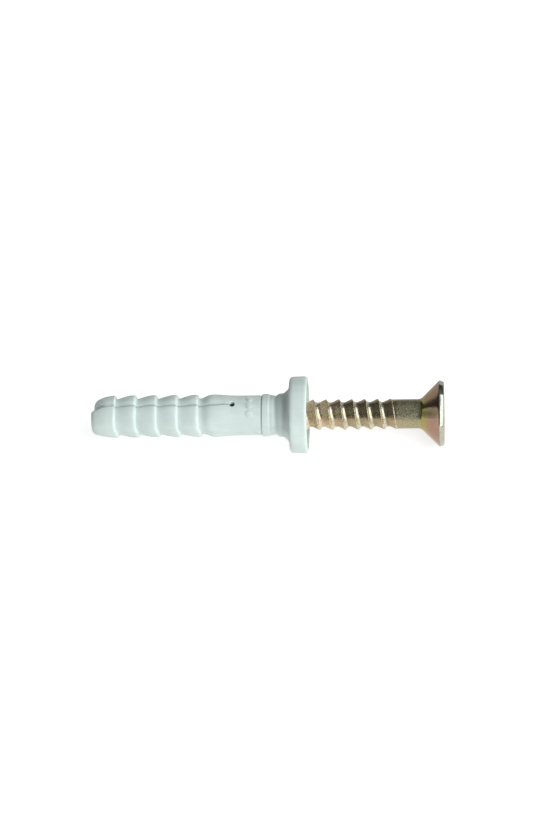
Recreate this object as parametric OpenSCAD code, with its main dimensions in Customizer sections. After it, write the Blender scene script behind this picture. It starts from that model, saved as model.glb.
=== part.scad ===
// Hammer-in wall anchor: a moulded plastic sleeve with a collar and two expansion legs,
// and a threaded drive screw that stands part-way out of it, as it is sold.
// Millimetres. +X runs along the anchor from the sleeve's nose to the screw's head, +Z is up.
// The origin is on the axis, in the plane of the collar's underside, where the wall's face is.

/* [Sleeve] */
// Diameter of the drilled hole, which the barb crests fill
hole_d = 6.0; // [5.9:0.05:6.2]
// Length from the collar's underside to the nose
sleeve_len = 27.9; // [27.5:0.1:29]
// Diameter of the smooth shank between the collar and the legs
shank_d = 5.64; // [5.5:0.02:5.7]
// Distance from the collar's underside to the centre of the hole that ends the slot
slot_end = 8.0; // [7.9:0.1:8.6]
// Width of the slot between the two legs
slot_w = 0.24; // [0.2:0.02:0.4]

/* [Collar] */
// Collar diameter
collar_d = 10.9; // [10.8:0.1:12]
// Collar thickness
collar_t = 2.55; // [2.2:0.05:2.6]

/* [Barbs] */
// Number of barb rings on the legs
barbs = 5; // [4:1:5]
// Distance from one barb to the next
barb_pitch = 2.94; // [2.8:0.02:3]
// Depth of the valley in front of each barb
barb_depth = 0.36; // [0.25:0.01:0.38]

/* [Screw] */
// Screw length, head included
screw_len = 29.0; // [28:0.1:29]
// Diameter over the thread crests
thread_d = 4.35; // [4.2:0.01:4.36]
// Thread pitch
thread_pitch = 1.815; // [1.7:0.005:1.9]
// Diameter of the plain shank under the head
plain_d = 4.1; // [4:0.02:4.2]
// Head diameter
head_d = 9.4; // [8.8:0.05:9.4]
// How far the head stands out of its seat before it is driven
stand_out = 19.15; // [15:0.05:19.25]

/* [Hidden] */
$fn = 96;

plastic = [0.80, 0.86, 0.84];
passivated = [0.80, 0.70, 0.45];

hole_r = hole_d / 2;
shank_r = shank_d / 2;
collar_r = collar_d / 2;
thread_r = thread_d / 2;
core_r = thread_r - 0.47;
plain_r = plain_d / 2;
head_r = head_d / 2;
bore_r = thread_r + 0.075;                    // running clearance all round the crests

slot_hole_r = 0.38;
root_x = -slot_end;                           // plane where the legs grow out of the shank
root_r = shank_r + 0.05;
nose_x = -sleeve_len;
nose_end_r = 1.7;
nose_round = 0.7;
nose_cone_len = 2.5;

head_rim = 0.66;                              // cylindrical land round the head
head_x = collar_t + stand_out;                // face of the screw's head
neck_x = head_x - head_rim - (head_r - plain_r);   // where the 90 degree head meets the plain shank
plain_len = 3.05;
thread_end_x = neck_x - plain_len;
tip_x = head_x - screw_len;
point_len = 2.5;
point_r = 0.35;

// An arc of n steps round (c_r, c_x), as [radius, x] points.
function arc(c_r, c_x, r, from, to, n = 8) =
    [for (i = [0:n]) let (a = from + (to - from) * i / n) [c_r + r * cos(a), c_x + r * sin(a)]];

// Turns an outline of [radius, x] points into a solid of revolution about the X axis.
module spin(outline) rotate([0, 90, 0]) rotate_extrude() polygon(outline);

// ---------------------------------------------------------------- sleeve: collar and shank

ring_x = [-3.85, -2.95];                       // raised ring that centres the shank in the hole mouth
groove_x = [-2.15, -1.95];
neck_r = 3.05;                                // step under the collar's cone
seat_r = 3.9;                                 // inner edge of the collar's flat underside
recess_r = head_r + 0.1;
seat_gap = 0.08;                              // radial play between head cone and countersink
recess_x = collar_t - head_rim;
cone_foot_x = recess_x - (recess_r - bore_r) + seat_gap / 2;

function collar_outside() = concat(
    [[bore_r, root_x], [root_r, root_x], [shank_r, root_x + 0.7], [shank_r, ring_x[0] - 0.15],
     [hole_r, ring_x[0]], [hole_r, ring_x[1]], [shank_r + 0.02, ring_x[1] + 0.15],
     [shank_r + 0.02, groove_x[0] - 0.1], [shank_r - 0.06, groove_x[0]], [shank_r - 0.06, groove_x[1]],
     [neck_r, groove_x[1] + 0.45], [neck_r, neck_r - seat_r], [seat_r, 0]],
    arc(collar_r - 0.45, 0.45, 0.45, -90, 0),
    arc(collar_r - 0.35, collar_t - 0.35, 0.35, 0, 90));

function collar_inside() =
    [[recess_r, collar_t], [recess_r, recess_x], [bore_r, cone_foot_x]];

// Three raised pips, moulded where a size mark goes.
module size_pips() {
    pip_r = 0.42;
    pip_high = 0.12;
    for (i = [0:2])
        translate([-5.6, 0, 0]) rotate([30 - 24 * i, 0, 0])
            translate([0, 0, shank_r - 0.3]) cylinder(r = pip_r, h = 0.3 + pip_high, $fn = 32);
}

// Round hole across the sleeve that ends the slot, so that the plastic doesn't tear there.
module slot_end_hole() {
    translate([-slot_end, 0, 0]) rotate([0, 0, 45])
        cylinder(r = slot_hole_r, h = 3 * hole_d, center = true, $fn = 48);
}

module sleeve_collar() {
    color(plastic) {
        difference() {
            spin(concat(collar_outside(), collar_inside()));
            slot_end_hole();
        }
        size_pips();
    }
}

// ---------------------------------------------------------------- sleeve: expansion legs

crest_land = 0.8;
barb_step = 0.12;
valley_r = hole_r - barb_depth;
last_barb_x = -12.65;                         // the barb nearest the collar
first_barb_x = last_barb_x - (barbs - 1) * barb_pitch;

// One barb from its foot to its step: a ramp that eases into a flat crest, then a sharp drop.
function barb(x) = [
    [valley_r, x - barb_pitch + barb_step + 0.15],
    [valley_r + 0.62 * barb_depth, x - 0.55 * barb_pitch],
    [hole_r, x - crest_land], [hole_r, x], [valley_r, x + barb_step]];

// Half outline of a leg from the nose, which may be a little short, back to its root.
function leg_outline(short) = concat(
    [[0, nose_x + short], [nose_end_r, nose_x + short]],
    arc(nose_end_r, nose_x + short + nose_round, nose_round, -80, -17, 5),
    [[hole_r, nose_x + nose_cone_len], [hole_r, first_barb_x], [valley_r, first_barb_x + barb_step]],
    [for (i = [1:barbs - 1]) each barb(first_barb_x + i * barb_pitch)],
    [[hole_r, -11.1], [hole_r, -10.2], [root_r, root_x], [0, root_x]]);

straight_end_x = root_x - 5.0;                // the bore is straight as far as here
channel_tilt = 5.2;                           // then it closes in on the slot at this angle
channel_len = straight_end_x - (tip_x + point_len - stand_out);

// The bore inside one leg has three stretches: straight and a little wider, leaning towards
// the slot, and a point.
module straight_bore() {
    translate([straight_end_x, 0, 0]) rotate([0, 90, 0])
        cylinder(r = bore_r + 0.04, h = root_x - straight_end_x + 0.1);
}

module leaning_bore() {
    translate([straight_end_x, 0, 0]) rotate([0, 0, channel_tilt]) rotate([0, -90, 0])
        translate([0, 0, -0.5]) cylinder(r = bore_r, h = channel_len + 0.5);
}

module bore_point() {
    translate([straight_end_x, 0, 0]) rotate([0, 0, channel_tilt]) rotate([0, -90, 0])
        translate([0, 0, channel_len - 0.01]) cylinder(r1 = bore_r, r2 = point_r, h = point_len + 0.1);
}

// The side of the slot with +Y. The slot narrows a little towards its end hole.
module leg_side() {
    slot_half = slot_w / 2;
    linear_extrude(height = 3 * hole_d, center = true)
        polygon([[root_x, slot_half / 2], [-12.5, slot_half], [nose_x - 1, slot_half],
                 [nose_x - 1, hole_d], [root_x, hole_d]]);
}

module leg(short) {
    difference() {
        intersection() {
            spin(leg_outline(short));
            leg_side();
        }
        slot_end_hole();
        straight_bore();
        leaning_bore();
        bore_point();
    }
}

module expansion_leg_right() {
    color(plastic) leg(0.2);
}

module expansion_leg_left() {
    color(plastic) mirror([0, 1, 0]) leg(0);
}

// ---------------------------------------------------------------- drive screw

thread_sides = 24;                            // steps in one turn of the helix
crest_x = 3.134;                              // place of one crest, on the side of the screw with +Y
// Buttress tooth over one pitch: [share of the pitch, radius]. The steep flank faces the head.
tooth = [[0, thread_r], [0.15, core_r], [0.42, core_r], [0.93, thread_r]];

// A solid threaded rod along +Z from z0, made of one helical strip and a cone at each end.
module threaded_rod(z0, turns) {
    m = len(tooth);
    n = thread_sides;
    k_end = n * turns;
    start = 90 + 360 * (z0 - crest_x) / thread_pitch;
    points = concat(
        [for (k = [0:k_end]) for (t = tooth)
            let (a = start + 360 * k / n)
            [t[1] * cos(a), t[1] * sin(a), z0 + thread_pitch * (k / n + t[0])]],
        [[0, 0, z0 - thread_pitch], [0, 0, z0 + thread_pitch * (turns + 2)]]);
    low = len(points) - 2;
    high = low + 1;
    function at(k, j) = k * m + j;
    faces = concat(
        [for (k = [0:k_end - 1]) for (j = [0:m - 2]) [at(k, j), at(k, j + 1), at(k + 1, j + 1), at(k + 1, j)]],
        [for (k = [0:k_end - n - 1]) [at(k, m - 1), at(k + n, 0), at(k + n + 1, 0), at(k + 1, m - 1)]],
        [for (k = [0:n - 1]) [low, at(k, 0), at(k + 1, 0)]],
        [[low, at(n, 0), at(0, m - 1)]],
        [for (j = [0:m - 2]) [low, at(0, j + 1), at(0, j)]],
        [for (k = [k_end - n:k_end - 1]) [high, at(k + 1, m - 1), at(k, m - 1)]],
        [[high, at(k_end - n, m - 1), at(k_end, 0)]],
        [for (j = [0:m - 2]) [high, at(k_end, j), at(k_end, j + 1)]]);
    polyhedron(points, faces, convexity = 10);
}

// The thread, pointed at the tip and cut square where the plain shank starts.
module screw_thread() {
    turns = ceil((thread_end_x - tip_x) / thread_pitch) + 1;
    rotate([0, 90, 0]) intersection() {
        threaded_rod(tip_x - thread_pitch, turns);
        rotate_extrude() polygon([[0, tip_x], [point_r, tip_x], [thread_r + 0.1, tip_x + point_len],
                                  [thread_r + 0.1, thread_end_x], [0, thread_end_x]]);
    }
}

// Plain shank and 90 degree countersunk head, with a rounded rim.
module shank_and_head() {
    spin(concat(
        [[0, thread_end_x], [plain_r, thread_end_x], [plain_r, neck_x],
         [head_r, head_x - head_rim]],
        arc(head_r - 0.3, head_x - 0.3, 0.3, 0, 90),
        [[0, head_x]]));
}

// Cross recess: two long wings and, between them, two short ones, all tapering inwards.
module cross_recess() {
    deep = 2.2;
    translate([head_x - deep, 0, 0]) {
        for (wing = [[0, 2.4, 1.1], [45, 1.45, 0.7]])
            intersection() {
                spin([[0, 0], [wing[1] * 0.45, 0], [wing[1], deep], [wing[1], deep + 1], [0, deep + 1]]);
                for (turn = [0, 90])
                    rotate([wing[0] + turn, 0, 0]) translate([-1, -wing[1] * 2, -wing[2] / 2])
                        cube([deep + 3, wing[1] * 4, wing[2]]);
            }
    }
}

module drive_screw() {
    color(passivated) {
        screw_thread();
        difference() {
            shank_and_head();
            cross_recess();
        }
    }
}

// ---------------------------------------------------------------- nodes

sleeve_collar();
expansion_leg_left();
expansion_leg_right();
drive_screw();
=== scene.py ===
"""Hammer-in wall anchor: moulded plastic sleeve and yellow-passivated drive screw, on a pale floor.

Lengths in the mesh code are millimetres. mesh_piece() turns them into metres, in the row frame:
+X runs along the anchor from the sleeve's nose to the screw's head, +Z is up.
"""
import math

import bmesh
import bpy
from mathutils import Matrix, Vector


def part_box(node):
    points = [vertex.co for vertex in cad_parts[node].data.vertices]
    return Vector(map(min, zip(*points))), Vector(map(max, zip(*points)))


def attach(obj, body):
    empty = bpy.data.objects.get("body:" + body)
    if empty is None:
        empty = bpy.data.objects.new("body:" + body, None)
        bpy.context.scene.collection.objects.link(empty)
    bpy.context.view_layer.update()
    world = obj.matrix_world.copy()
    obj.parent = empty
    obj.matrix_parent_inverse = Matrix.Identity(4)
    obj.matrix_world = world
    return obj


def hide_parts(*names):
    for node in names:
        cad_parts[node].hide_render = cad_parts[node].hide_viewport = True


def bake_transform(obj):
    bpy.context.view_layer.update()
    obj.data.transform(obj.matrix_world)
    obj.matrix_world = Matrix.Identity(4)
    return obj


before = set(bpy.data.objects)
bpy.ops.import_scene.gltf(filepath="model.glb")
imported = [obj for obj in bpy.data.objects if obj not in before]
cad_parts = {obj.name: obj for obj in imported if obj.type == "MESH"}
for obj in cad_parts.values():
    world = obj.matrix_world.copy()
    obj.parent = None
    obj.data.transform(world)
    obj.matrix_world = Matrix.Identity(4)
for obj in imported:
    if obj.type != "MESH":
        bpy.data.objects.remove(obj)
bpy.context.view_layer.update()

MM = 0.001


def node_box(node):
    """Lowest and highest corner of a CAD node, in millimetres."""
    low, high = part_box(node)
    return low / MM, high / MM


collar_low, collar_high = node_box("sleeve_collar")
left_low, left_high = node_box("expansion_leg_left")
right_low = node_box("expansion_leg_right")[0]
screw_low, screw_high = node_box("drive_screw")

COLLAR_R = collar_high.y
COLLAR_T = collar_high.x
HOLE_R = left_high.z                # radius over the barbs' crests
SLOT_END = collar_low.x             # centre of the hole that ends the slot
HEAD_X = screw_high.x               # outer face of the screw's head
HEAD_R = screw_high.z
TIP_X = screw_low.x                 # the screw's point
HEAD_RIM = 0.66                     # the head's straight rim. The collar's recess for it is as deep


# ------------------------------------------------------------------ mesh helpers

SAME_POINT = 2e-4                   # points closer than this are joined
NO_LENGTH = 1e-4                    # edges shorter than this are dissolved
MOST_OF_A_SIDE = 0.48               # a rounded corner takes at most this share of each side


def clean(mesh):
    """Joins points that coincide, drops faces with no area and turns the normals outwards."""
    work = bmesh.new()
    work.from_mesh(mesh)
    bmesh.ops.remove_doubles(work, verts=work.verts, dist=SAME_POINT * MM)
    bmesh.ops.dissolve_degenerate(work, edges=work.edges, dist=NO_LENGTH * MM)
    bmesh.ops.recalc_face_normals(work, faces=work.faces)
    work.to_mesh(mesh)
    work.free()


def mesh_piece(name, points, faces, material, body, smooth_angle=35.0):
    """A mesh object from points in millimetres, cleaned and shaded. It rides on a body, if one is given."""
    mesh = bpy.data.meshes.new(name)
    mesh.from_pydata([Vector(p) * MM for p in points], [], faces)
    clean(mesh)
    mesh.shade_smooth()
    mesh.set_sharp_from_angle(angle=math.radians(smooth_angle))
    piece = bpy.data.objects.new(name, mesh)
    bpy.context.scene.collection.objects.link(piece)
    mesh.materials.append(material)
    if body:
        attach(piece, body)
    return piece


def smoothstep(low, high, value):
    """0 at low and 1 at high, with a smooth rise between them. low may be the larger number."""
    t = min(max((value - low) / (high - low), 0.0), 1.0)
    return t * t * (3.0 - 2.0 * t)


def curve_point(start, corner, end, t):
    """Point at t, from 0 to 1, of the curve that leaves start and reaches end in line with corner."""
    return start * (1 - t) ** 2 + corner * 2 * t * (1 - t) + end * t ** 2


def rounded(corners, steps=4):
    """(x, r) points of an outline of (x, r, cut) corners. A corner with a cut is rounded over that length."""
    points = [corners[0][:2]]
    for before, (x, r, cut), after in zip(corners, corners[1:], corners[2:]):
        if not cut:
            points.append((x, r))
            continue
        corner = Vector((x, r))
        ends = []
        for other in (before, after):
            side = Vector(other[:2]) - corner
            ends.append(corner + side * min(cut / side.length, MOST_OF_A_SIDE))
        for i in range(steps + 1):
            point = curve_point(ends[0], corner, ends[1], i / steps)
            points.append((point.x, point.y))
    points.append(corners[-1][:2])
    return points


def divided(points, longest):
    """The same outline with no step longer than longest."""
    result = [points[0]]
    for a, b in zip(points, points[1:]):
        n = max(1, math.ceil(math.dist(a, b) / longest))
        result += [tuple(p + (q - p) * i / n for p, q in zip(a, b)) for i in range(1, n + 1)]
    return result


def with_stations(outline, places):
    """The outline with extra points at the given x, on its own straight stretches."""
    result = list(outline)
    for place in places:
        for i, (a, b) in enumerate(zip(result, result[1:])):
            if a[0] + 1e-4 < place < b[0] - 1e-4:
                t = (place - a[0]) / (b[0] - a[0])
                result.insert(i + 1, (place, a[1] + (b[1] - a[1]) * t))
                break
    return result


def grid_faces(rows, columns):
    """Quads between neighbouring rows of points. Each row is a closed ring."""
    return [(i * columns + j, i * columns + (j + 1) % columns,
             (i + 1) * columns + (j + 1) % columns, (i + 1) * columns + j)
            for i in range(rows - 1) for j in range(columns)]


# ------------------------------------------------------------------ shader helpers

class Nodes:
    """Short names for the shader nodes that the materials use."""

    def __init__(self, name):
        self.material = bpy.data.materials.new(name)
        self.material.use_nodes = True
        self.tree = self.material.node_tree
        self.shader = self.tree.nodes["Principled BSDF"]

    def add(self, kind, **values):
        """A new node. Each value goes to the input of that name, or else to the node's setting."""
        node = self.tree.nodes.new(kind)
        for key, value in values.items():
            if key in node.inputs:
                self.put(value, node.inputs[key])
            else:
                setattr(node, key, value)
        return node

    def put(self, value, socket):
        """Links an output to the socket, or sets the socket to a plain value."""
        if isinstance(value, bpy.types.NodeSocket):
            self.tree.links.new(value, socket)
        else:
            socket.default_value = value

    def stretched(self, sx, sy, sz):
        """Object coordinates in millimetres, scaled along each axis."""
        place = self.add("ShaderNodeTexCoord").outputs["Object"]
        mapping = self.add("ShaderNodeMapping")
        self.put(place, mapping.inputs["Vector"])
        mapping.inputs["Scale"].default_value = (sx / MM, sy / MM, sz / MM)
        return mapping.outputs["Vector"]

    def along_x(self):
        """Object coordinate along the anchor, in millimetres."""
        axes = self.add("ShaderNodeSeparateXYZ")
        self.put(self.stretched(1.0, 1.0, 1.0), axes.inputs[0])
        return axes.outputs["X"]

    def facing_head(self):
        """How far the surface faces the screw's head, as the X part of its normal."""
        axes = self.add("ShaderNodeSeparateXYZ")
        self.put(self.add("ShaderNodeTexCoord").outputs["Normal"], axes.inputs[0])
        return axes.outputs["X"]

    def radius(self):
        """Distance from the anchor's axis, in millimetres."""
        length = self.add("ShaderNodeVectorMath", operation="LENGTH")
        self.put(self.stretched(0.0, 1.0, 1.0), length.inputs[0])
        return length.outputs["Value"]

    def noise(self, vector, detail, roughness=0.55, distortion=0.0):
        node = self.add("ShaderNodeTexNoise", Scale=1.0, Detail=detail, Roughness=roughness,
                        Distortion=distortion)
        self.put(vector, node.inputs["Vector"])
        return node.outputs["Fac"]

    def ramp(self, factor, stops):
        """Colours at (position, colour) stops, with a smooth change between them."""
        node = self.add("ShaderNodeValToRGB")
        node.color_ramp.interpolation = "EASE"
        while len(node.color_ramp.elements) < len(stops):
            node.color_ramp.elements.new(0.5)
        for element, (position, colour) in zip(node.color_ramp.elements, stops):
            element.position = position
            element.color = (*colour, 1.0)
        self.put(factor, node.inputs["Fac"])
        return node.outputs["Color"]

    def mix(self, factor, a, b):
        """Colour a where the factor is 0 and colour b where it is 1."""
        node = self.add("ShaderNodeMix", data_type="RGBA")
        self.put(factor, node.inputs[0])
        for value, socket in ((a, node.inputs[6]), (b, node.inputs[7])):
            self.put((*value, 1.0) if isinstance(value, tuple) else value, socket)
        return node.outputs[2]

    def math(self, operation, a, b):
        node = self.add("ShaderNodeMath", operation=operation)
        self.put(a, node.inputs[0])
        self.put(b, node.inputs[1])
        return node.outputs[0]

    def blended(self, a, share, b):
        """A share of a, with the rest from b."""
        return self.math("ADD", self.math("MULTIPLY", a, share), self.math("MULTIPLY", b, 1.0 - share))

    def span(self, value, low, high, to_low, to_high):
        """Maps low..high to to_low..to_high, and holds the end values outside."""
        node = self.add("ShaderNodeMapRange")
        for key, number in (("Value", value), ("From Min", low), ("From Max", high),
                            ("To Min", to_low), ("To Max", to_high)):
            self.put(number, node.inputs[key])
        return node.outputs["Result"]

    def bump(self, height, strength, distance_mm, below=None):
        node = self.add("ShaderNodeBump", Strength=strength, Distance=distance_mm * MM)
        self.put(height, node.inputs["Height"])
        if below is not None:
            self.put(below, node.inputs["Normal"])
        return node.outputs["Normal"]

    def surface(self, **values):
        """Sets the shader's inputs and gives the material."""
        for key, value in values.items():
            self.put(value, self.shader.inputs[key.replace("_", " ")])
        return self.material


# ------------------------------------------------------------------ materials

MINT_GREYS = [(0.3, (0.60, 0.70, 0.67)), (0.7, (0.66, 0.76, 0.72))]
DRAG_GREY = (0.57, 0.65, 0.63)
SPECK_GREY = (0.46, 0.54, 0.52)

KHAKIS = [(0.36, (0.44, 0.42, 0.24)), (0.48, (0.52, 0.45, 0.25)),
          (0.56, (0.55, 0.43, 0.26)), (0.66, (0.48, 0.37, 0.27))]
ROSES = [(0.40, (0.48, 0.38, 0.16)), (0.48, (0.48, 0.31, 0.21)),
         (0.56, (0.45, 0.26, 0.22)), (0.64, (0.48, 0.34, 0.20))]
VALLEY_OLIVE = (0.32, 0.29, 0.17)
COPPER = (0.88, 0.62, 0.42)
# painted highlight: a pale tint for the thread's flanks that face the head and the key light
PAINTED_FLANK_HIGHLIGHT = (0.92, 0.88, 0.70)
SPECKLE_GREEN = (0.72, 0.78, 0.60)
NECK_GOLD = (0.46, 0.38, 0.13)
FACE_GOLD = (0.74, 0.62, 0.30)
BARE_ZINC = (0.68, 0.73, 0.64)
STAIN = (0.26, 0.25, 0.17)
SCRATCH = (0.82, 0.80, 0.68)

# Where the steel changes, in millimetres: from and to, along the screw (X) or away from its axis (R)
COPPER_X = (4.8, 8.0)
SHANK_X = (14.9, 15.15)
HEAD_STARTS_X = (18.1, 18.7)
NECK_X = (18.2, 18.5)
CONE_X = (18.8, 19.6)
RIM_X = (20.95, 21.15)
FACE_X = (21.55, 21.65)
THREAD_VALLEY_R = (1.78, 1.98)
RECESS_EDGE_R = (2.45, 2.75)
RIM_R = (4.40, 4.48)
SPECKLE_PITS = (0.43, 0.54)         # levels of the pits' noise between which the shank's speckles appear


def sleeve_plastic():
    """Pale grey nylon with a mint cast: faint drag lines along the mould, flow bands and fine grain."""
    n = Nodes("sleeve_plastic")
    clouds = n.noise(n.stretched(0.35, 0.5, 0.5), detail=2.0)
    drag = n.noise(n.stretched(0.12, 2.6, 2.6), detail=4.0, roughness=0.6)
    bands = n.noise(n.stretched(1.3, 0.12, 0.12), detail=2.0)
    grain = n.noise(n.stretched(14.0, 14.0, 14.0), detail=2.0)
    specks = n.noise(n.stretched(5.0, 5.0, 5.0), detail=1.0)
    tint = n.ramp(clouds, MINT_GREYS)
    tint = n.mix(n.span(drag, 0.45, 0.75, 0.0, 0.35), tint, DRAG_GREY)
    tint = n.mix(n.span(specks, 0.70, 0.78, 0.0, 0.25), tint, SPECK_GREY)
    rough = n.span(n.blended(grain, 0.4, clouds), 0.3, 0.7, 0.30, 0.46)
    waves = n.bump(bands, 0.35, 0.05)
    lines = n.bump(drag, 0.4, 0.02, waves)
    relief = n.bump(grain, 0.35, 0.006, lines)
    return n.surface(Base_Color=tint, Roughness=rough, Normal=relief, Subsurface_Weight=0.12,
                     Subsurface_Radius=(0.9, 1.0, 0.95), Subsurface_Scale=0.6 * MM, IOR=1.45,
                     Specular_IOR_Level=0.35)


def passivated_steel():
    """Rolled steel with yellow passivation.

    The thread is khaki, with a painted highlight: its flanks that face the head and the key light are tinted
    pale. It is coppery near the collar, and the plain shank is speckled. The head has a gold neck, a rose and
    gold cone, a nearly bare rim and a gold face.
    """
    n = Nodes("passivated_steel")
    along = n.along_x()
    radius = n.radius()
    drift = n.noise(n.stretched(0.22, 0.34, 0.34), detail=2.0, distortion=0.6)
    patches = n.noise(n.stretched(0.8, 1.0, 1.0), detail=4.0, distortion=0.8)
    mottle = n.noise(n.stretched(3.4, 4.2, 4.2), detail=6.0, roughness=0.7)
    scuffs = n.noise(n.stretched(1.6, 11.0, 11.0), detail=4.0, roughness=0.7)
    pits = n.noise(n.stretched(5.5, 7.0, 7.0), detail=2.0, roughness=0.6)
    grain = n.noise(n.stretched(18.0, 18.0, 18.0), detail=3.0)
    blend = n.blended(drift, 0.6, patches)
    khaki = n.ramp(blend, KHAKIS)
    rose = n.ramp(blend, ROSES)

    in_valley = n.math("MULTIPLY", n.span(radius, *THREAD_VALLEY_R, 1.0, 0.0), 0.5)
    on_shank = n.span(along, *SHANK_X, 0.0, 1.0)
    speckles = n.math("MULTIPLY", on_shank, n.span(pits, *SPECKLE_PITS, 0.0, 0.45))
    outside_recess = n.span(radius, *RECESS_EDGE_R, 0.0, 1.0)
    on_cone = n.math("MULTIPLY", n.span(along, *CONE_X, 0.0, 1.0), outside_recess)
    on_rim = n.math("MULTIPLY", n.span(along, *RIM_X, 0.0, 0.9), n.span(radius, *RIM_R, 0.0, 1.0))
    below_head = n.span(along, *HEAD_STARTS_X, 1.0, 0.0)

    tint = n.mix(in_valley, khaki, VALLEY_OLIVE)
    tint = n.mix(n.span(along, *COPPER_X, 0.85, 0.0), tint, COPPER)
    # painted highlight: surfaces facing the head, towards the key light, are tinted pale
    tint = n.mix(n.span(n.facing_head(), 0.14, 0.40, 0.0, 0.85), tint, PAINTED_FLANK_HIGHLIGHT)
    tint = n.mix(speckles, tint, SPECKLE_GREEN)
    tint = n.mix(n.span(along, *NECK_X, 0.0, 1.0), tint, NECK_GOLD)
    tint = n.mix(on_cone, tint, rose)
    tint = n.mix(n.span(along, *FACE_X, 0.0, 1.0), tint, n.mix(0.5, khaki, FACE_GOLD))
    tint = n.mix(on_rim, tint, BARE_ZINC)
    tint = n.mix(n.span(mottle, 0.48, 0.70, 0.0, 0.6), tint, STAIN)
    tint = n.mix(n.span(scuffs, 0.60, 0.72, 0.0, 0.55), tint, SCRATCH)

    shine = n.span(n.blended(mottle, 0.6, scuffs), 0.35, 0.70, 0.04, 0.18)
    dull = n.math("MAXIMUM", n.span(pits, 0.50, 0.62, 0.0, 0.60),
                  n.math("MULTIPLY", on_shank, n.span(pits, *SPECKLE_PITS, 0.26, 0.66)))
    rough = n.math("MAXIMUM", shine, n.math("MULTIPLY", dull, below_head))
    dents = n.bump(n.math("ADD", mottle, n.math("MULTIPLY", pits, 0.7)),
                   n.span(below_head, 0.0, 1.0, 0.12, 1.0), 0.035)
    lines = n.bump(scuffs, 0.35, 0.008, dents)
    relief = n.bump(grain, 0.3, 0.004, lines)
    return n.surface(Base_Color=tint, Roughness=rough, Normal=relief, Metallic=1.0)


PLASTIC = sleeve_plastic()
STEEL = passivated_steel()


# ------------------------------------------------------------------ sleeve: collar, neck and ring

BORE_R = 2.25
JOIN_X = -3.93                      # crease beside the ring, where the halves with the legs begin
CREASE_R = 2.70
RECESS_GAP = 0.1                    # between the screw's head and the collar, once it is driven home
COLLAR_COLUMNS = 200
COLLAR_STEP = 0.35                  # longest step along the outline
MOULD_LINE = math.radians(108.0)    # the two mould halves meet here, measured from +Z towards +Y
LINE_W = 0.05
LINE_H = 0.045
LINE_DEGREES = (-2.4, -1.6, -1.0, -0.5, 0.0, 0.5, 1.0, 1.6, 2.4)    # extra columns across the line
LINE_MIN_R = 2.5                    # the bore, inside this radius, has no mould line,
LINE_TO_FACE = 0.05                 # nor has the collar's face
RING_FADE = 0.2                     # it fades in over this length from the crease


def mould_ridge(angle, radius):
    """Height of the faint line where the mould closed, at an angle from +Z towards +Y."""
    away = (angle - MOULD_LINE + math.pi / 2) % math.pi - math.pi / 2
    return LINE_H * math.exp(-(away * radius / LINE_W) ** 2)


def angles_round(start, stop, count):
    """Even angles, with extra ones close to the mould line."""
    even = [start + (stop - start) * i / count for i in range(count + 1)]
    extra = [line + math.radians(a) for line in (MOULD_LINE, MOULD_LINE + math.pi)
             for a in LINE_DEGREES]
    inside = [a for a in extra if start + 1e-3 < a < stop - 1e-3]
    merged = sorted(even + inside)
    kept = [merged[0]]
    for angle in merged[1:]:
        if angle - kept[-1] > math.radians(0.2):
            kept.append(angle)
    kept[-1] = stop
    return kept


def collar_outline():
    """The collar's section as (x, r), from the crease beside the ring over the collar to the bore."""
    recess_r = HEAD_R + RECESS_GAP
    recess_x = COLLAR_T - HEAD_RIM
    return rounded([
        (JOIN_X, BORE_R, 0), (JOIN_X, CREASE_R, 0), (JOIN_X + 0.12, HOLE_R, 0.14), (-2.95, HOLE_R, 0.12),
        (-2.80, 2.84, 0.08), (-2.32, 2.84, 0.06), (-2.18, 2.74, 0.06), (-1.88, 2.74, 0.08),
        (-1.46, 3.05, 0.10), (-0.86, 3.06, 0.22), (-0.30, 3.55, 0.25), (0.0, 4.05, 0.25),
        (0.0, COLLAR_R - 0.05, 0.60), (COLLAR_T, COLLAR_R, 0.42), (COLLAR_T, recess_r, 0.08),
        (recess_x, recess_r, 0.12), (recess_x - (recess_r - BORE_R), BORE_R, 0.25), (JOIN_X, BORE_R, 0)])


def make_collar():
    """The collar, neck and ring: the outline turned once about the axis."""
    outline = divided(collar_outline(), COLLAR_STEP)[:-1]
    angles = angles_round(0.0, 2 * math.pi, COLLAR_COLUMNS)[:-1]
    points = []
    for angle in angles:
        for x, r in outline:
            has_line = r > LINE_MIN_R and x < COLLAR_T - LINE_TO_FACE
            height = mould_ridge(angle, r) if has_line else 0.0
            r += height * smoothstep(JOIN_X, JOIN_X + RING_FADE, x)
            points.append((x, r * math.sin(angle), r * math.cos(angle)))
    rows, columns = len(angles), len(outline)
    faces = grid_faces(rows, columns)
    faces += [((rows - 1) * columns + j, (rows - 1) * columns + (j + 1) % columns,
               (j + 1) % columns, j) for j in range(columns)]
    piece = mesh_piece("collar_and_neck", points, faces, PLASTIC, "sleeve")
    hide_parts("sleeve_collar")


# ------------------------------------------------------------------ sleeve: the two halves with the legs

SHANK_R = 2.81
# Sides: -1 is the left half, 1 the right half, which is the far one in the photo
VALLEY_R = {-1: 2.60, 1: 2.48}      # between the barbs, which are cut deeper on the far half
NOSE_R = {-1: 2.08, 1: 1.66}
SLOT_EDGE = {-1: 0.5, 1: 0.80}      # rounding of the slot's edge
NOSE_SET_BACK = 0.12                # the right half's nose, short of the end of its CAD leg
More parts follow.
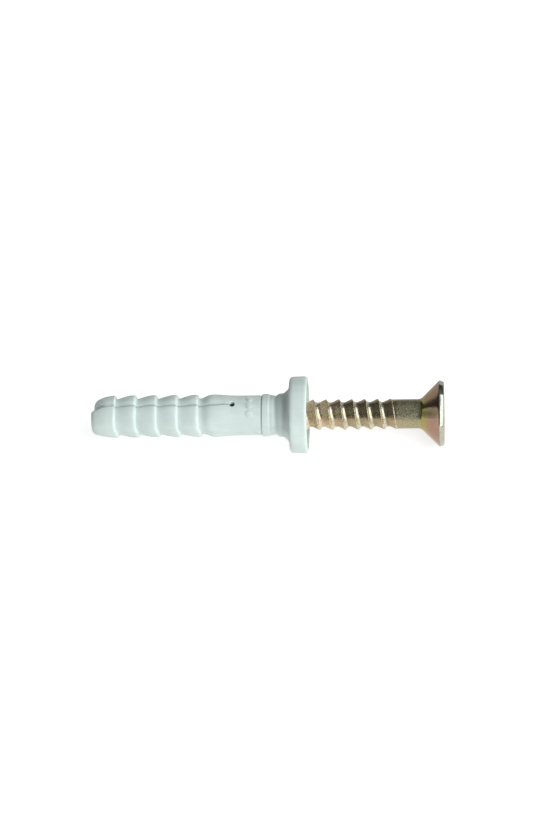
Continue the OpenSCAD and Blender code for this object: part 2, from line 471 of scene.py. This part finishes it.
# From the nose: (distance along X, share of the fall in radius, cut)
NOSE_CURVE = ((0.30, 0.56, 0.35), (1.0, 0.32, 0.3), (1.9, 0.11, 0.5), (3.0, 0.0, 0.4))
HALF_COLUMNS = 96
HALF_STEP = 0.22                    # longest step along the outline
BARBS = 5
BARB_PITCH = 2.94
LAST_BARB_X = -12.65                # step of the barb nearest the collar
MISMATCH = 0.18                     # each mould half is shifted by this, so the barbs are twice this apart
SHIFT_TURN = (-0.04, 0.50)          # the shift changes sides here, in radians from the mould line
SHIFT_GROWS_X = (-9.5, -12.0)       # it is full on the barbs,
SHIFT_ENDS_X = (-27.6, -25.4)       # and there is none at the nose
LINE_FADE = 0.3                     # the mould line fades out over this length at the crease
SLOT_HALF = 0.05
SLOT_FLARE = 0.42                   # extra half width at the nose
SLOT_FLARE_X = (-25.4, -27.9)
SLOT_HOLE_R = 0.38
HOLE_EDGE = 0.12                    # rounding of the end hole's edge
EDGE_GROWS_X = (SLOT_END - 0.4, SLOT_END - 2.6)     # from the hole's rounding to the slot's
DEEPEST_EDGE = 0.5                  # the rounding goes no deeper into the slot than this,
WALL_SHARE = 0.85                   # nor than this share of the way to the bore
EDGE_STEPS = 8
BORE_STEPS = 40
BORE_WIDENING = 0.04                # extra radius of the bore's straight stretch
STRAIGHT_END_X = SLOT_END - 5.0     # the bore is straight as far as here, then leans to the slot
LEAN = math.tan(math.radians(5.2))
CHANNEL_END_X = -24.4               # the bore's full width ends here,
CHANNEL_POINT = 2.6                 # and it narrows to nothing over this length


def half_outline(nose_x, nose_r, valley_r):
    """The outside of one half as (x, r), from its nose to the crease beside the ring."""
    fall = HOLE_R - nose_r
    corners = [(nose_x, nose_r, 0)]
    corners += [(nose_x + x, HOLE_R - share * fall, cut) for x, share, cut in NOSE_CURVE]
    for i in range(BARBS):
        step = LAST_BARB_X - (BARBS - 1 - i) * BARB_PITCH
        if i:
            corners.append((step - 0.95, HOLE_R, 0.75))
        corners += [(step - 0.02, HOLE_R, 0.36), (step + 0.05, valley_r, 0.06),
                    (step + 0.40, valley_r + 0.04, 0.30)]
    valley = LAST_BARB_X + 0.05
    corners[-2:] = [(valley, valley_r - 0.02, 0.06), (valley + 0.5, valley_r, 0.4),
                    (-11.15, HOLE_R, 0.7), (-10.1, HOLE_R, 0.8), (-7.9, SHANK_R, 0.9),
                    (JOIN_X - 0.16, SHANK_R, 0.06), (JOIN_X, CREASE_R, 0)]
    return divided(rounded(corners), HALF_STEP)


def slot_half_width(x):
    """Half the slot's width at x: wider at the nose, round at the end hole, closed beyond it."""
    hole = math.sqrt(max(SLOT_HOLE_R ** 2 - (x - SLOT_END) ** 2, 0.0))
    return max(hole, SLOT_HALF + SLOT_FLARE * smoothstep(*SLOT_FLARE_X, x) if x < SLOT_END else 0.0)


def bore(x):
    """(offset from the axis across the slot plane, radius) of the bore's half in one leg."""
    radius = BORE_R + BORE_WIDENING if x > STRAIGHT_END_X else BORE_R
    radius *= max(0.0, 1.0 - max(0.0, CHANNEL_END_X - x) / CHANNEL_POINT)
    return LEAN * max(0.0, STRAIGHT_END_X - x), radius


def outside_arc(x, r, first, angles):
    """One half's outside as (y, z), from the slot's upper edge round to its lower edge."""
    arc = []
    for angle in angles:
        a = first + (math.pi - 2 * first) * angle / math.pi
        bumped = r + mould_ridge(a, r) * smoothstep(0.0, LINE_FADE, abs(x - JOIN_X))
        arc.append((bumped * math.sin(a), bumped * math.cos(a)))
    return arc


def bore_arc(x, half):
    """The bore's wall as (y, z), from the slot's upper wall to its lower one. Past its end it is a point."""
    offset, radius = bore(x)
    reach = half + offset
    if radius <= reach + 1e-6:
        return [(half, 0.0)] * (BORE_STEPS + 1)
    start = math.asin(reach / radius)
    arc = []
    for i in range(BORE_STEPS + 1):
        a = start + (math.pi - 2 * start) * i / BORE_STEPS
        arc.append((-offset + radius * math.sin(a), radius * math.cos(a)))
    return arc


def section(x, r, edge, angles):
    """One half's section across the axis at x as (y, z). The slot's edge is rounded over a length."""
    half = slot_half_width(x)
    open_here = smoothstep(SLOT_END + SLOT_HOLE_R, SLOT_END + SLOT_HOLE_R - 0.05, x)
    edge = (HOLE_EDGE + (edge - HOLE_EDGE) * smoothstep(*EDGE_GROWS_X, x)) * open_here
    outer = outside_arc(x, r, math.asin(half / r) + edge / r, angles)
    inner = bore_arc(x, half)
    mouth = inner[0][1]
    top = math.sqrt(r * r - half * half)
    deep = min(edge, DEEPEST_EDGE, WALL_SHARE * (top - mouth))
    corner, wall, arc_end = Vector((half, top)), Vector((half, top - deep)), Vector(outer[0])
    bevel = [tuple(curve_point(wall, corner, arc_end, i / EDGE_STEPS)) for i in range(EDGE_STEPS)]
    walls = [(half, mouth + (top - deep - mouth) * i / 3) for i in (1, 2)]
    mirrored = [(y, -z) for y, z in reversed(walls + bevel)]
    return outer + mirrored + list(reversed(inner)) + walls + bevel


def mould_shift(x, y, z):
    """How far along X the mould half that made this point has set the barbs."""
    line = MOULD_LINE if y > 0 else math.pi - MOULD_LINE
    start, stop = SHIFT_TURN
    lower = smoothstep(line + start, line + stop, math.atan2(abs(y), z))
    barbs = smoothstep(*SHIFT_GROWS_X, x) * smoothstep(*SHIFT_ENDS_X, x)
    return MISMATCH * (2.0 * lower - 1.0) * barbs


def straighten_seam(mesh):
    """Gives both halves the same normals where their outsides meet, so that no seam shows."""
    normals = [Vector(n.vector) for n in mesh.corner_normals]
    for face in mesh.polygons:
        for loop in face.loop_indices:
            place = mesh.vertices[mesh.loops[loop].vertex_index].co
            if abs(place.y) < 1e-7 and abs(face.normal.y) < 0.5:
                normal = normals[loop]
                normals[loop] = Vector((normal.x, 0.0, normal.z)).normalized()
    mesh.normals_split_custom_set(normals)


def make_half(name, side, nose_x, node):
    """One half of the sleeve, with its leg. side is -1 for the left one and 1 for the right one."""
    outline = half_outline(nose_x, NOSE_R[side], VALLEY_R[side])
    hole = [SLOT_END + SLOT_HOLE_R * math.cos(math.radians(a)) for a in range(0, 181, 12)]
    extra = hole + [SLOT_END + SLOT_HOLE_R + 0.01, STRAIGHT_END_X + 0.001, STRAIGHT_END_X - 0.001,
                    CHANNEL_END_X]
    outline = with_stations(outline, extra)
    angles = angles_round(0.0, math.pi, HALF_COLUMNS)
    points = []
    for x, r in outline:
        ring = section(x, r, SLOT_EDGE[side], angles)
        points += [(x + mould_shift(x, side * y, z), side * y, z) for y, z in ring]
    columns = len(points) // len(outline)
    faces = grid_faces(len(outline), columns)
    faces += [tuple(range(columns)), tuple(range(len(points) - columns, len(points)))]
    piece = mesh_piece(name, points, faces, PLASTIC, None)
    straighten_seam(piece.data)
    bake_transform(piece)
    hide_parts(node)


# ------------------------------------------------------------------ sleeve: the three pips

PIP_X = -5.6
PIP_TURNS = (30.0, 6.0, -18.0)      # degrees about the axis, from the top
PIP_OUTLINE = [(-0.12, 0.43, 0), (0.12, 0.42, 0.06), (0.12, 0.0, 0)]    # (height over the shank, r, cut)
PIP_CENTRE_R = 0.004                # the top face's innermost ring
PIP_COLUMNS = 40


def make_pips():
    """Three raised pips on the shank, where a size mark goes."""
    profile = [(h, max(r, PIP_CENTRE_R)) for h, r in rounded(PIP_OUTLINE)]
    points, faces = [], []
    for turn in PIP_TURNS:
        tilt = Matrix.Rotation(math.radians(turn), 3, "X")
        base = len(points)
        for h, r in profile:
            for k in range(PIP_COLUMNS):
                a = 2 * math.pi * k / PIP_COLUMNS
                place = tilt @ Vector((r * math.cos(a), r * math.sin(a), SHANK_R + h))
                points.append(place + Vector((PIP_X, 0.0, 0.0)))
        faces += [tuple(base + i for i in face) for face in grid_faces(len(profile), PIP_COLUMNS)]
        faces.append(tuple(base + i for i in range(PIP_COLUMNS)))
        faces.append(tuple(range(len(points) - PIP_COLUMNS, len(points))))
    mesh_piece("size_pips", points, faces, PLASTIC, "sleeve")


# ------------------------------------------------------------------ drive screw

PITCH = 1.815
THREAD_R = 2.175
CORE_R = 1.71
PLAIN_R = 2.055
CREST_X = 3.134                     # a crest's place at angle 0, from +Y towards +Z
FOOT_R = CORE_R + 0.17              # foot of the thread's steep flank
CREST_R = THREAD_R + 0.02           # before the crest is rounded
TOOTH_STEP = 0.16
POINT_LEN = 2.5
POINT_R = 0.30
LAST_TURN = 6.05                    # turns from CREST_X to where the thread's valley has run out
THREAD_END_X = 15.40
ROW_TURNS = range(-8, 9)            # enough turns to pass both end planes, which cut the rows off
COLUMNS = 160
ANGLES = [2 * math.pi * j / COLUMNS for j in range(COLUMNS)]

HEAD_STEP = 0.3
FACE_INNER_R = 2.9                  # the flat face ends here, and the cross recess's lip begins
RECESS_DEPTH = 2.1
WING_LEN = (2.35, 1.35)             # of the cross recess: at its mouth, and how much less at its bottom
WING_HALF = (0.48, 0.10)
HUB_R = (0.98, 0.35)
# (share of the depth, widening of the wall), then (further depth, scale of the ring before)
RECESS_RINGS = ((0.0, 0.06), (0.015, 0.02), (0.05, 0.0), (0.3, 0.0), (0.6, 0.0), (0.9, 0.0), (1.0, -0.03))
RECESS_POINT = ((0.15, 0.6), (0.4, 0.02))


def tooth():
    """One pitch of the thread as (share of the pitch, radius), from crest to crest towards the head."""
    corners = [(-0.5, THREAD_R - 0.22, 0), (0.0, CREST_R, 0.10), (0.19, FOOT_R, 0.14),
               (0.50, CORE_R, 0.20), (0.78, CORE_R, 0.20), (PITCH, CREST_R, 0.10),
               (PITCH + 0.19, FOOT_R, 0)]
    points = [p for p in divided(rounded(corners, 5), TOOTH_STEP) if 0.0 <= p[0] < PITCH - 1e-6]
    return [(x / PITCH, r) for x, r in points]


def thread_radius(x, r, share, turn):
    """Radius after the point and the run-out. Past the last crest the thread gives way to the plain shank."""
    filled = smoothstep(LAST_TURN - 0.5, LAST_TURN, turn) * smoothstep(0.0, 0.07, share)
    faded = smoothstep(LAST_TURN + 0.42, LAST_TURN + 0.68, turn + share)
    r += (PLAIN_R - r) * max(filled, faded)
    return min(r, POINT_R + (THREAD_R - POINT_R) * max(0.0, x - TIP_X) / POINT_LEN)


def thread_rows():
    """Helical rows of points, and the rows in a turn. Each row is held between two end planes."""
    profile = tooth()
    rows = []
    for turn in ROW_TURNS:
        for share, radius in profile:
            row = []
            for j, angle in enumerate(ANGLES):
                crest = turn + j / COLUMNS
                x = min(max(CREST_X + PITCH * (crest + share), TIP_X), THREAD_END_X)
                r = thread_radius(x, radius, share, crest) if x < THREAD_END_X else PLAIN_R
                row.append((x, r * math.cos(angle), r * math.sin(angle)))
            rows.append(row)
    return rows, len(profile)


def thread_mesh():
    """Points and faces of the thread. A row's end meets the start of the row one pitch further on."""
    rows, per_turn = thread_rows()
    points = [p for row in rows for p in row]
    faces = []
    for i in range(len(rows) - 1):
        for j in range(COLUMNS - 1):
            a = i * COLUMNS + j
            faces.append((a, a + 1, a + COLUMNS + 1, a + COLUMNS))
        wrapped = i + per_turn
        if wrapped + 1 < len(rows):
            a, b = i * COLUMNS + COLUMNS - 1, wrapped * COLUMNS
            faces.append((a, b, b + COLUMNS, a + COLUMNS))
    return points, faces


def recess_radius(angle, share):
    """Distance from the axis to the cross recess's wall, at an angle and a share of its depth."""
    wing_len, wing_half, hub = (mouth - less * share for mouth, less in (WING_LEN, WING_HALF, HUB_R))
    turn = (angle + math.pi / 4) % (math.pi / 2) - math.pi / 4
    across = abs(math.sin(turn)) + 1e-9
    wing = min(wing_len / math.cos(turn), wing_half / across)
    return max(wing, hub)


def head_rows():
    """Rings of points from the thread's end over the shank and head into the cross recess."""
    neck_x = HEAD_X - HEAD_RIM - (HEAD_R - PLAIN_R)
    outline = divided(rounded([
        (THREAD_END_X, PLAIN_R, 0), (neck_x, PLAIN_R, 0.45), (HEAD_X - HEAD_RIM, HEAD_R, 0.14),
        (HEAD_X, HEAD_R - 0.22, 0.20), (HEAD_X, FACE_INNER_R, 0)], 6), HEAD_STEP)
    rings = [[(x, r)] * COLUMNS for x, r in outline]
    for share, widening in RECESS_RINGS:
        x = HEAD_X - RECESS_DEPTH * share
        rings.append([(x, recess_radius(angle, share) + widening) for angle in ANGLES])
    for below, scale in RECESS_POINT:
        x = HEAD_X - RECESS_DEPTH - below
        rings.append([(x, r * scale) for _, r in rings[-1]])
    return [[(x, r * math.cos(angle), r * math.sin(angle)) for (x, r), angle in zip(ring, ANGLES)]
            for ring in rings]


def make_screw():
    """The screw as one piece: the thread's mesh, and the shank and head that begin where it ends."""
    points, faces = thread_mesh()
    rows = head_rows()
    base = len(points)
    points += [p for row in rows for p in row]
    faces += [tuple(base + k for k in face) for face in grid_faces(len(rows), COLUMNS)]
    faces.append(tuple(range(len(points) - COLUMNS, len(points))))
    piece = mesh_piece("drive_screw_body", points, faces, STEEL, "screw",
                       smooth_angle=32.0)
    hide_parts("drive_screw")


# ------------------------------------------------------------------ camera, floor and light

CAMERA_ELEVATION = math.radians(55.0)
CAMERA_TURN = math.radians(3.5)
CAMERA_ROLL = math.radians(0.55)
CAMERA_TARGET = (-2.1, 0.255, 0.28)
CAMERA_DISTANCE = 480.0
CAMERA_LENS = 148.8
FLOOR_REACH = 1.5                   # metres from the middle of the floor to its edges
FLOOR_GAP = 0.00002                 # metres between the floor and the anchor
GROUND_WARM = (1.0, 0.975, 0.92, 1.0)
SKY_BLUE = (0.86, 0.93, 1.0, 1.0)


def make_camera():
    """Looks down on the anchor from the front, with the screw's head a little nearer than the nose."""
    elevation, turn = CAMERA_ELEVATION, CAMERA_TURN
    back = Vector((math.sin(turn), -math.cos(turn) * math.cos(elevation),
                   math.cos(turn) * math.sin(elevation)))
    right = Vector((math.cos(turn), math.sin(turn) * math.cos(elevation),
                    -math.sin(turn) * math.sin(elevation)))
    up = back.cross(right)
    spin = Matrix.Rotation(-CAMERA_ROLL, 3, back)
    right, up = spin @ right, spin @ up
    data = bpy.data.cameras.new("camera")
    data.lens = CAMERA_LENS
    data.sensor_width = 36.0
    camera = bpy.data.objects.new("camera", data)
    camera.matrix_world = Matrix((right, up, back)).transposed().to_4x4()
    camera.location = Vector(CAMERA_TARGET) * MM + back * CAMERA_DISTANCE * MM
    data.clip_start, data.clip_end = 0.01, 10.0
    bpy.context.scene.collection.objects.link(camera)
    bpy.context.scene.camera = camera


def make_floor():
    """A pale floor that the collar's rim and the screw's head lie on.

    Mirror-like reflections see the lower half of the surroundings in its place.
    """
    n = Nodes("floor")
    n.surface(Base_Color=(0.48, 0.48, 0.48, 1.0), Roughness=0.9, Specular_IOR_Level=0.1,
              Emission_Color=(1.0, 1.0, 1.0, 1.0), Emission_Strength=0.77)
    slope = (COLLAR_R - HEAD_R) / (HEAD_X - COLLAR_T)
    low, high = -FLOOR_REACH, FLOOR_REACH
    corners = [(x, y, -COLLAR_R * MM + slope * (x - COLLAR_T * MM) - FLOOR_GAP)
               for x, y in ((low, low), (high, low), (high, high), (low, high))]
    mesh = bpy.data.meshes.new("floor")
    mesh.from_pydata(corners, [], [(0, 1, 2, 3)])
    mesh.materials.append(n.material)
    floor = bpy.data.objects.new("floor", mesh)
    bpy.context.scene.collection.objects.link(floor)
    floor.visible_glossy = False


def softbox(name, place, size, watts, glossy=True, diffuse=True):
    """A rectangular soft light that points at the anchor. Its place and size are in metres."""
    data = bpy.data.lights.new(name, "AREA")
    data.shape = "RECTANGLE"
    data.size, data.size_y = size
    data.energy = watts
    light = bpy.data.objects.new(name, data)
    light.location = place
    light.rotation_euler = (-Vector(place)).to_track_quat("-Z", "Y").to_euler()
    light.visible_glossy = glossy
    light.visible_diffuse = diffuse
    light.visible_camera = False
    bpy.context.scene.collection.objects.link(light)


def make_sky():
    """Dim, cool surroundings that are brighter overhead, over a warm ground that is dimmer at the back.

    The ground shows only in mirror-like reflections, because the floor hides it from everything else.
    """
    world = bpy.data.worlds.new("studio")
    world.use_nodes = True
    nodes, links = world.node_tree.nodes, world.node_tree.links
    place = nodes.new("ShaderNodeTexCoord")
    axes = nodes.new("ShaderNodeSeparateXYZ")
    links.new(place.outputs["Generated"], axes.inputs[0])

    def gradient(axis, start, end, low, high):
        """A level that goes from low to high between two values of the direction's Y or Z part."""
        node = nodes.new("ShaderNodeMapRange")
        node.inputs["From Min"].default_value = start
        node.inputs["From Max"].default_value = end
        node.inputs["To Min"].default_value = low
        node.inputs["To Max"].default_value = high
        links.new(axes.outputs[axis], node.inputs["Value"])
        return node.outputs["Result"]

    horizon = gradient("Z", -0.03, 0.03, 0.0, 1.0)
    ground = gradient("Y", 0.42, 0.58, 0.88, 0.50)
    sky = gradient("Z", 0.10, 0.90, 0.03, 0.20)
    level = nodes.new("ShaderNodeMapRange")
    links.new(horizon, level.inputs["Value"])
    links.new(ground, level.inputs["To Min"])
    links.new(sky, level.inputs["To Max"])
    links.new(level.outputs["Result"], nodes["Background"].inputs["Strength"])
    colour = nodes.new("ShaderNodeValToRGB")
    colour.color_ramp.elements[0].color = GROUND_WARM
    colour.color_ramp.elements[1].color = SKY_BLUE
    links.new(horizon, colour.inputs["Fac"])
    links.new(colour.outputs["Color"], nodes["Background"].inputs["Color"])
    bpy.context.scene.world = world


def make_light():
    """The surroundings, the five softboxes and a plain view transform."""
    make_sky()
    softbox("fill", (0.34, -0.22, 0.53), (0.5, 0.5), 3.2, glossy=False)
    softbox("side", (0.42, -0.56, 0.27), (0.42, 0.42), 0.8)
    softbox("front", (0.0, -0.6, 0.07), (0.9, 0.16), 0.35)
    softbox("left", (-0.8, -0.15, 0.035), (0.5, 0.07), 0.08, diffuse=False)
    softbox("key", (0.55, 0.0, 0.38), (0.95, 0.55), 2.6)
    bpy.context.scene.view_settings.view_transform = "Standard"
    bpy.context.scene.view_settings.look = "None"


make_camera()
make_collar()
make_half("sleeve_left_half", -1, left_low.x, "expansion_leg_left")
make_half("sleeve_right_half", 1, right_low.x + NOSE_SET_BACK, "expansion_leg_right")
make_pips()
make_screw()
make_floor()
make_light()
